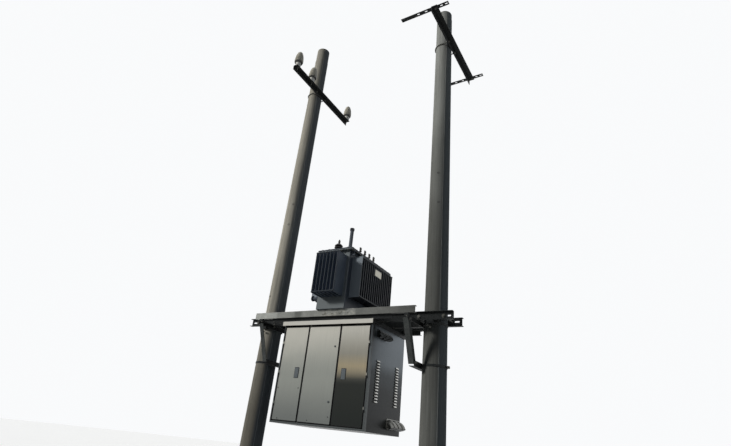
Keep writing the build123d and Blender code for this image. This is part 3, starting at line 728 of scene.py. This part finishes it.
for x in RAIL_BOLT_PLACES:
    for face_y in (outer_high.y - RAIL_BOLT_IN, back_low.y + RAIL_BOLT_IN):
        frame_bolts.bolt((x, face_y, rail_low.z + RAIL_WALL), Z, M12)
frame_bolts.piece("frame_bolts", FASTENER, smooth=True)

# Ends of the lower hoops, drawn together on the side away from the braces
HOOP_WALL = 0.006
EAR_SINK = 0.004
EAR_REACH = 0.032
EAR_HALF_HEIGHT = 0.013
EAR_Y = 0.010
EAR_HALF_WALL = 0.003
EAR_BOLT_OUT = 0.018
hoop_bolts = Row()
level = (hoop_low.z + hoop_high.z) / 2
reach = pole_radius(level) + HOOP_WALL
for side, toward in (("left", -1), ("right", 1)):
    x = POLE_X[side] + toward * reach
    near_x, far_x = sorted((x - toward * EAR_SINK, x + toward * EAR_REACH))
    for way in (-1, 1):
        hoop_bolts.slab((near_x, way * EAR_Y - EAR_HALF_WALL, level - EAR_HALF_HEIGHT),
                        (far_x, way * EAR_Y + EAR_HALF_WALL, level + EAR_HALF_HEIGHT), 0.001)
    hoop_bolts.bolt((x + toward * EAR_BOLT_OUT, -EAR_Y - EAR_HALF_WALL, level), AHEAD, M12,
                    2 * (EAR_Y + EAR_HALF_WALL), 0.012)
hoop_bolts.piece("hoop_bolts", FASTENER, smooth=True)

# Bolts of the tank's flange, and its gasket line
RIM_BOLT_IN = 0.011
FLANGE_WALL = 0.012
LONG_SIDE_BOLTS = 12
SHORT_SIDE_BOLTS = 5
LONG_SIDE_INSET = 0.045
SHORT_SIDE_INSET = 0.065
top_z = lid_high.z
spots = []
for y in spaced(lid_low.y, lid_high.y, LONG_SIDE_INSET, LONG_SIDE_BOLTS):
    spots += [(lid_low.x + RIM_BOLT_IN, y), (lid_high.x - RIM_BOLT_IN, y)]
for x in spaced(lid_low.x, lid_high.x, SHORT_SIDE_INSET, SHORT_SIDE_BOLTS):
    spots += [(x, lid_low.y + RIM_BOLT_IN), (x, lid_high.y - RIM_BOLT_IN)]
flange_bolts = Row()
for x, y in spots:
    flange_bolts.bolt((x, y, top_z), Z, M10, lid_high.z - lid_low.z + FLANGE_WALL, 0.004)
flange_bolts.piece("tank_flange_bolts", FASTENER, smooth=True)

GASKET_HALF = 0.0015
GASKET_PROUD = 0.0012
GASKET_SINK = 0.001
gasket = Row()
for near, far in ((GASKET_SINK, GASKET_PROUD), (-GASKET_PROUD, -GASKET_SINK)):
    gasket.slab((lid_low.x + near, lid_low.y + near, lid_low.z - GASKET_HALF),
                (lid_high.x + far, lid_high.y + far, lid_low.z + GASKET_HALF))
gasket.piece("tank_gasket", RUBBER)

# Terminals on the bushings
HV_X = (hv_low.x + hv_high.x) / 2
LV_X = (lv_low.x + lv_high.x) / 2
HV_RADIUS = 0.060
LV_RADIUS = 0.032
HV_PLACES = spaced(hv_low.y, hv_high.y, HV_RADIUS, 3)
LV_PLACES = spaced(lv_low.y, lv_high.y, LV_RADIUS, 4)
NUT_HEIGHT = 0.010
HV_NUT = 0.026
LV_NUT = 0.034
PALM_HALF_WALL = 0.004
PALM_HALF_WIDTH = 0.022
terminals = Row()
for y in HV_PLACES:
    terminals.hexagon((HV_X, y, hv_high.z - 0.042), Z, HV_NUT, NUT_HEIGHT)
    terminals.hexagon((HV_X, y, hv_high.z - 0.024), Z, HV_NUT, NUT_HEIGHT)
    terminals.prism((HV_X, y, hv_high.z - 0.030), Z, 0.016, 0.004)
for y in LV_PLACES:
    terminals.slab((LV_X - PALM_HALF_WALL, y - PALM_HALF_WIDTH, lv_high.z - 0.052),
                   (LV_X + PALM_HALF_WALL, y + PALM_HALF_WIDTH, lv_high.z - 0.002), 0.001)
    terminals.hexagon((LV_X, y, lv_high.z - 0.060), Z, LV_NUT, NUT_HEIGHT)
    for way in (-1, 1):
        terminals.bolt((LV_X + way * PALM_HALF_WALL, y + 0.010, lv_high.z - 0.016),
                       (way, 0, 0), M8)
terminals.piece("bushing_terminals", TERMINAL, smooth=True)

# Upper rain shed of each high-voltage bushing
SHED_OUTLINE = [(0.031, 0.150), (0.054, 0.154), (0.056, 0.158), (0.054, 0.163), (0.030, 0.186)]
sheds = Row()
for y in HV_PLACES:
    sheds.turned((HV_X, y, hv_low.z), Z, SHED_OUTLINE)
sheds.piece("bushing_sheds", DARK_GLAZE, smooth=True)

# Clamps that hold the bushing feet
HV_CLAMP = 0.064
LV_CLAMP = 0.042
CLAMP_LIFT = 0.008
CLAMP_BOLT = 0.007
feet = Row()
for x, places, reach in ((HV_X, HV_PLACES, HV_CLAMP), (LV_X, LV_PLACES, LV_CLAMP)):
    for y in places:
        feet.turned((x, y, top_z), Z, [(reach, 0.0), (reach, 0.006), (reach - 0.006, 0.010),
                                       (reach * 0.78, 0.010)], 36)
        for out_x, out_y in around(reach - 0.011, 4, math.pi / 4):
            feet.bolt((x + out_x, y + out_y, top_z + CLAMP_LIFT), Z, CLAMP_BOLT)
feet.piece("bushing_clamps", SLATE, smooth=True)

# Rivets and folded rim of the bare plate
RIVET_IN = 0.016
RIVET_OUTLINE = [(0.0042, -0.0005), (0.004, 0.0008), (0.002, 0.0018), (0.0004, 0.002)]
PLATE_RIM = 0.010
rivets = Row()
for y in (plate_low.y + RIVET_IN, plate_high.y - RIVET_IN):
    for z in (plate_low.z + RIVET_IN, plate_high.z - RIVET_IN):
        rivets.turned((plate_high.x, y, z), X, RIVET_OUTLINE, 16)
rivets.piece("plate_rivets", PLATE, smooth=True)

frame_strips = Row()
for low, high in (
    ((plate_low.y, plate_low.z), (plate_high.y, plate_low.z + PLATE_RIM)),
    ((plate_low.y, plate_high.z - PLATE_RIM), (plate_high.y, plate_high.z)),
    ((plate_low.y, plate_low.z), (plate_low.y + PLATE_RIM, plate_high.z)),
    ((plate_high.y - PLATE_RIM, plate_low.z), (plate_high.y, plate_high.z)),
):
    frame_strips.slab((plate_high.x - 0.001, *low), (plate_high.x + 0.0012, *high))
frame_strips.piece("plate_frame", SLATE)

# Knurl of the filler cap, and the bolts of the filler's foot and of the valve's flanges
KNURL_RADIUS = 0.0285
KNURL_COUNT = 24
FILLER_BOLT_RADIUS = 0.031
VALVE_BOLT_RADIUS = 0.027
VALVE_FLANGE = 0.010
filler_x = (filler_low.x + filler_high.x) / 2
filler_y = (filler_low.y + filler_high.y) / 2
valve_y = (valve_low.y + valve_high.y) / 2
valve_z = (valve_low.z + valve_high.z) / 2
fittings = Row()
for out_x, out_y in around(KNURL_RADIUS, KNURL_COUNT):
    fittings.prism((filler_x + out_x, filler_y + out_y, filler_high.z - 0.028), Z, 0.0016,
                   0.024, 8)
for out_x, out_y in around(FILLER_BOLT_RADIUS, 4, math.pi / 4):
    fittings.bolt((filler_x + out_x, filler_y + out_y, top_z + CLAMP_LIFT), Z, M6)
for x, way in ((valve_high.x - VALVE_FLANGE, -1), (valve_low.x + VALVE_FLANGE, 1)):
    for out_y, out_z in around(VALVE_BOLT_RADIUS, 4, math.pi / 4):
        fittings.bolt((x, valve_y + out_y, valve_z + out_z), (way, 0, 0), M6)
fittings.piece("tank_fittings", SLATE, smooth=True)

# Screw heads on the faces of the doors
DOOR_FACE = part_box("centre_door")[0].y
SCREW_OUTLINE = [(0.0065, -0.001), (0.006, 0.0022), (0.003, 0.0034), (0.0005, 0.0036)]
SCREW_PLACES = {"centre": ((1.141, 1.856), (1.423, 1.908)),
                "left": ((0.951, 2.194), (0.640, 2.190), (0.700, 1.850))}
for side, places in SCREW_PLACES.items():
    screws = Row()
    for x, z in places:
        screws.turned((x, DOOR_FACE, z), AHEAD, SCREW_OUTLINE, 20)
    screws.piece(f"{side}_door_screws", BLACK, f"{side}_leaf", True)

# Dark strips that run round the face of each leaf: painted shade along the door seams
EDGE_WIDTH = 0.0065
EDGE_PROUD = 0.0006
EDGE_SINK = 0.001
face_y = DOOR_FACE - EDGE_PROUD
inner_y = DOOR_FACE + EDGE_SINK
leaf_low, leaf_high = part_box("left_door")
bottom, top = leaf_low.z, leaf_high.z
for side, left_reach, right_reach in (("left", HINGE_REACH, 0), ("centre", 0, 0),
                                      ("right", 0, HINGE_REACH)):
    low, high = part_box(f"{side}_door")
    left, right = low.x + left_reach, high.x - right_reach
    seam_shade = Row()
    seam_shade.slab((left, face_y, bottom), (left + EDGE_WIDTH, inner_y, top))
    seam_shade.slab((right - EDGE_WIDTH, face_y, bottom), (right, inner_y, top))
    seam_shade.slab((left, face_y, bottom), (right, inner_y, bottom + EDGE_WIDTH))
    seam_shade.slab((left, face_y, top - EDGE_WIDTH), (right, inner_y, top))
    seam_shade.piece(f"{side}_door_edging", RUBBER, f"{side}_leaf")

# Keyholes of the centre door's locks
LOCK_RADIUS = 0.011
KEY_OUTLINE = [(0.008, -0.001), (0.008, 0.0012), (0.0065, 0.002), (0.002, 0.002)]
KEY_HALF_WIDTH = 0.0012
KEY_HALF_HEIGHT = 0.005
keys = Row()
lock_x = (locks_low.x + locks_high.x) / 2
for z in (locks_low.z + LOCK_RADIUS, locks_high.z - LOCK_RADIUS):
    keys.turned((lock_x, locks_low.y, z), AHEAD, KEY_OUTLINE, 24)
    keys.slab((lock_x - KEY_HALF_WIDTH, locks_low.y - 0.0028, z - KEY_HALF_HEIGHT),
              (lock_x + KEY_HALF_WIDTH, locks_low.y - 0.0015, z + KEY_HALF_HEIGHT))
keys.piece("centre_door_keyholes", HANDLE_SHEET, "centre_leaf", True)

# Latch plate and button in each flush handle
BUTTON_OUTLINE = [(0.008, -0.001), (0.008, 0.002), (0.0065, 0.003), (0.002, 0.003)]
BUTTON_DROP = 0.021
for side in ("left", "right"):
    low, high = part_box(f"{side}_door_handle")
    middle_x = (low.x + high.x) / 2
    latch = Row()
    latch.slab((low.x + 0.005, low.y - 0.0022, low.z + 0.004),
               (high.x - 0.005, low.y + 0.0012, high.z - 0.006), 0.0008)
    latch.turned((middle_x, low.y, high.z - BUTTON_DROP), AHEAD, BUTTON_OUTLINE, 24)
    latch.piece(f"{side}_handle_latch", HANDLE_SHEET, f"{side}_leaf", True)

# Louvre lips in a far paler copy of the sheet, a painted highlight, and black slabs under and
# between them, painted shade in the slots
LOUVRE_COLUMNS = (-0.229, 0.248)
LOUVRE_ROWS = 15
LIP_TOP = base_low.z + 0.757
LIP_PITCH = 0.031
LIP_DROP = 0.018
LIP_REACH = 0.012
LIP_HALF_WIDTH = 0.0365
SLOT_HALF_WIDTH = 0.0358
GAP_HALF_WIDTH = 0.0355
LIP_OUTLINE = ((0.0040, -0.0038), (LIP_REACH + 0.0012, 0.0004 - LIP_DROP),
               (LIP_REACH - 0.001, -0.0006 - LIP_DROP), (0.0030, -0.0060))
lips = Row()
slots = Row()
for face, way in ((back_wall_high.x, 1), (back_wall_low.x, -1)):
    slot_low_x, slot_high_x = sorted((face - way * 0.001, face + way * (LIP_REACH - 0.0008)))
    gap_low_x, gap_high_x = sorted((face - way * 0.001, face + way * 0.0008))
    for column in LOUVRE_COLUMNS:
        for index in range(LOUVRE_ROWS):
            z = LIP_TOP - index * LIP_PITCH
            lips.skin([[(face + way * out, y, z + up) for out, up in LIP_OUTLINE]
                       for y in (column - LIP_HALF_WIDTH, column + LIP_HALF_WIDTH)])
            slots.slab((slot_low_x, column - SLOT_HALF_WIDTH, z - LIP_DROP - 0.0016),
                       (slot_high_x, column + SLOT_HALF_WIDTH, z - LIP_DROP + 0.0002))
            slots.slab((gap_low_x, column - GAP_HALF_WIDTH, z - 0.0305),
                       (gap_high_x, column + GAP_HALF_WIDTH, z - 0.0175))
lips.piece("louvre_lips", LIP_HIGHLIGHT)
slots.piece("louvre_slots", BLACK)

# Rolled rim and dark plug at the open end of each bent pipe
ELBOW_TURN = math.radians(72)
ELBOW_FLANGE = 0.004
ELBOW_COUNT = 3
ELBOW_ROWS = (
    {"node": "upper_cable_elbows", "radius": 0.036, "bend": 0.052, "pitch": 0.096,
     "first": -0.262, "above_base": 1.052},
    {"node": "lower_cable_elbows", "radius": 0.048, "bend": 0.062, "pitch": 0.112,
     "first": 0.118, "above_base": 0.113},
)
mouths = Row()
rims = Row()
out = Vector((math.cos(ELBOW_TURN), 0, -math.sin(ELBOW_TURN)))
for elbow in ELBOW_ROWS:
    radius, bend = elbow["radius"], elbow["bend"]
    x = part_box(elbow["node"])[0].x + ELBOW_FLANGE + bend * math.sin(ELBOW_TURN)
    z = base_low.z + elbow["above_base"] - bend * (1 - math.cos(ELBOW_TURN))
    for index in range(ELBOW_COUNT):
        centre = (x, elbow["first"] + index * elbow["pitch"], z)
        mouths.turned(centre, out, [(radius - 0.004, -0.001), (radius - 0.004, 0.0006),
                                    (radius * 0.5, 0.0008), (0.001, 0.0008)], 36)
        rims.turned(centre, out, [(radius - 0.0035, -0.001), (radius + 0.0022, -0.001),
                                  (radius + 0.0026, 0.001), (radius + 0.001, 0.0024),
                                  (radius - 0.0035, 0.0016)], 40)
mouths.piece("elbow_mouths", RUBBER, smooth=True)
rims.piece("elbow_rims", LID_SHEET, smooth=True)


BOW_STEPS = 24


def bow(row, side, arm_x, level, rod, wall, reach, nut):
    """Rod bent round a pole behind its crossarm, with a nut on each end."""
    radius = pole_radius(level) + rod
    path = [(arm_x + reach, radius, level)]
    for k in range(BOW_STEPS + 1):
        turn = math.pi / 2 + math.pi * k / BOW_STEPS
        path.append((POLE_X[side] + radius * math.cos(turn), radius * math.sin(turn), level))
    path.append((arm_x + reach, -radius, level))
    row.tube(path, rod)
    for way in (-1, 1):
        row.bolt((arm_x + wall, way * radius, level), X, nut)


# Left crossarm: bow round the pole and insulator nuts
INSULATOR_PLACES = (-0.748, -0.343, 0.824)
NEAR_LINE = 0.035
arm_bolts = Row()
bow(arm_bolts, "left", arm_low.x, arm_high.z - NEAR_LINE, rod=0.008, wall=0.006, reach=0.030,
    nut=M16)
post_x = (post_low.x + post_high.x) / 2
for y in INSULATOR_PLACES:
    arm_bolts.bolt((post_x, y, arm_high.z - 0.006), -Z, M16)
    arm_bolts.prism((post_x, y, arm_high.z - 0.060), Z, M16 / 2, 0.045, 16)
arm_bolts.piece("left_arm_bolts", FASTENER, smooth=True)

# Right crossarm: bow round the pole and the bolts of the straps
FAR_LINE = 0.045
FAR_BOLT_IN = 0.052
STRAP_BOLT_IN = 0.03
far_bolts = Row()
bow(far_bolts, "right", far_arm_low.x, far_arm_high.z - FAR_LINE, rod=0.009, wall=0.008,
    reach=0.034, nut=M20)
for y in (strap_low.y + STRAP_BOLT_IN, strap_high.y - STRAP_BOLT_IN):
    far_bolts.bolt((far_arm_low.x + FAR_BOLT_IN, y, strap_high.z), Z, M16, 0.014, 0.014)
far_bolts.piece("right_arm_bolts", FASTENER, smooth=True)

# Spare holes along the crossarms, drawn as black discs: painted shade in the holes
HOLE_RADIUS = 0.009
LEFT_HOLES = (-0.56, -0.20, 0.22, 0.42, 0.64)
RIGHT_HOLES = (-0.62, -0.44, -0.26, 0.28, 0.46, 0.64)
holes = Row()
for y in LEFT_HOLES:
    holes.prism((arm_low.x + 0.038, y, arm_high.z - 0.0005), Z, HOLE_RADIUS, 0.0012, 20)
    holes.prism((arm_low.x - 0.0005, y + 0.05, arm_high.z - 0.045), X, HOLE_RADIUS,
                0.0082, 20)
for y in RIGHT_HOLES:
    holes.prism((far_arm_low.x - 0.0006, y, far_arm_high.z - FAR_LINE), X, HOLE_RADIUS,
                0.0092, 20)
    holes.prism((far_arm_low.x + FAR_BOLT_IN, y, far_arm_high.z - 0.0086), Z, HOLE_RADIUS,
                0.0092, 20)
holes.piece("arm_holes", BLACK)

# Wide pale floor, which camera and glossy rays see nearly white
FLOOR_RADIUS = 60
FLOOR_GLOW = 0.5
floor_mesh = bmesh.new()
bmesh.ops.create_circle(floor_mesh, cap_ends=True, segments=96, radius=FLOOR_RADIUS,
                        matrix=Matrix.Translation((1.25, 0, 0)))
floor_data = bpy.data.meshes.new("floor")
floor_mesh.to_mesh(floor_data)
floor_mesh.free()
floor = bpy.data.objects.new("floor", floor_data)
bpy.context.scene.collection.objects.link(floor)
floor_finish = Finish("pale_floor", roughness=0.9)
floor_rays = floor_finish.tree.nodes.new("ShaderNodeLightPath")
floor_seen = floor_finish.math("MAXIMUM", floor_rays.outputs["Is Camera Ray"],
                               floor_rays.outputs["Is Glossy Ray"])
pale = floor_finish.ramp(floor_finish.noise(0.6, 3), [
    (0.3, srgb(240, 240, 238)), (0.7, srgb(245, 245, 243))])
floor_finish.colour(floor_finish.mix(floor_seen, srgb(74, 75, 73), pale))
floor_finish.shader.inputs["Emission Color"].default_value = (1.0, 1.0, 1.0, 1.0)
floor_finish.link(floor_finish.math("MULTIPLY", floor_seen, FLOOR_GLOW),
                  floor_finish.shader.inputs["Emission Strength"])
floor_data.materials.append(floor_finish.material)
floor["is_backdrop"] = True

# World: weak sky light on the object, and white for the rays that see the background
world = bpy.data.worlds.new("studio")
bpy.context.scene.world = world
world.use_nodes = True
tree = world.node_tree
tree.nodes.clear()


def world_node(kind, **values):
    """Node of the world with some of its inputs set by name."""
    node = tree.nodes.new(kind)
    for name, value in values.items():
        node.inputs[name].default_value = value
    return node


def brighter(first, second):
    """Output that is 1 where either of two is 1."""
    node = world_node("ShaderNodeMath")
    node.operation = "MAXIMUM"
    tree.links.new(first, node.inputs[0])
    tree.links.new(second, node.inputs[1])
    return node.outputs[0]


rays = world_node("ShaderNodeLightPath").outputs
seen = brighter(rays["Is Camera Ray"], brighter(rays["Is Glossy Ray"],
                                                rays["Is Transmission Ray"]))
ambient = world_node("ShaderNodeBackground", Color=(0.76, 0.87, 1.0, 1.0), Strength=0.11)
backdrop = world_node("ShaderNodeBackground", Color=(0.95, 0.96, 0.97, 1.0), Strength=1.0)
choice = world_node("ShaderNodeMixShader")
tree.links.new(seen, choice.inputs[0])
tree.links.new(ambient.outputs[0], choice.inputs[1])
tree.links.new(backdrop.outputs[0], choice.inputs[2])
tree.links.new(choice.outputs[0], world_node("ShaderNodeOutputWorld").inputs["Surface"])


def sun(name, toward, strength, spread, colour):
    """Soft distant lamp that shines from a direction, without a glare of its own in metal."""
    data = bpy.data.lights.new(name, "SUN")
    data.energy = strength
    data.angle = math.radians(spread)
    data.color = colour
    lamp = bpy.data.objects.new(name, data)
    lamp.matrix_world = turned_to(toward)
    lamp.visible_glossy = False
    bpy.context.scene.collection.objects.link(lamp)


sun("key", (-0.64, -0.71, 0.36), 2.55, 9, (1.0, 0.98, 0.94))
sun("fill", (0.9, -0.5, 0.45), 0.08, 60, (0.88, 0.94, 1.0))

# Camera that repeats the reference view
cos_yaw, sin_yaw = math.cos(CAMERA_YAW), math.sin(CAMERA_YAW)
cos_pitch, sin_pitch = math.cos(CAMERA_PITCH), math.sin(CAMERA_PITCH)
forward = Vector((sin_yaw * cos_pitch, cos_yaw * cos_pitch, sin_pitch))
level_right = Vector((cos_yaw, -sin_yaw, 0))
level_up = level_right.cross(forward)
cos_roll, sin_roll = math.cos(CAMERA_ROLL), math.sin(CAMERA_ROLL)
right = cos_roll * level_right + sin_roll * level_up
up = -sin_roll * level_right + cos_roll * level_up
camera_data = bpy.data.cameras.new("camera")
camera_data.sensor_width = SENSOR
camera_data.lens = FOCAL_PIXELS * SENSOR / PICTURE_WIDTH
camera_data.shift_x = (PICTURE_WIDTH / 2 - CENTRE_PIXEL[0]) / PICTURE_WIDTH
camera_data.shift_y = (CENTRE_PIXEL[1] - PICTURE_HEIGHT / 2) / PICTURE_WIDTH
camera = bpy.data.objects.new("camera", camera_data)
camera.matrix_world = Matrix((
    (right.x, up.x, -forward.x, CAMERA_PLACE.x),
    (right.y, up.y, -forward.y, CAMERA_PLACE.y),
    (right.z, up.z, -forward.z, CAMERA_PLACE.z),
    (0, 0, 0, 1)))
bpy.context.scene.collection.objects.link(camera)
bpy.context.scene.camera = camera
bpy.context.scene.view_settings.view_transform = "Standard"

low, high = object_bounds()
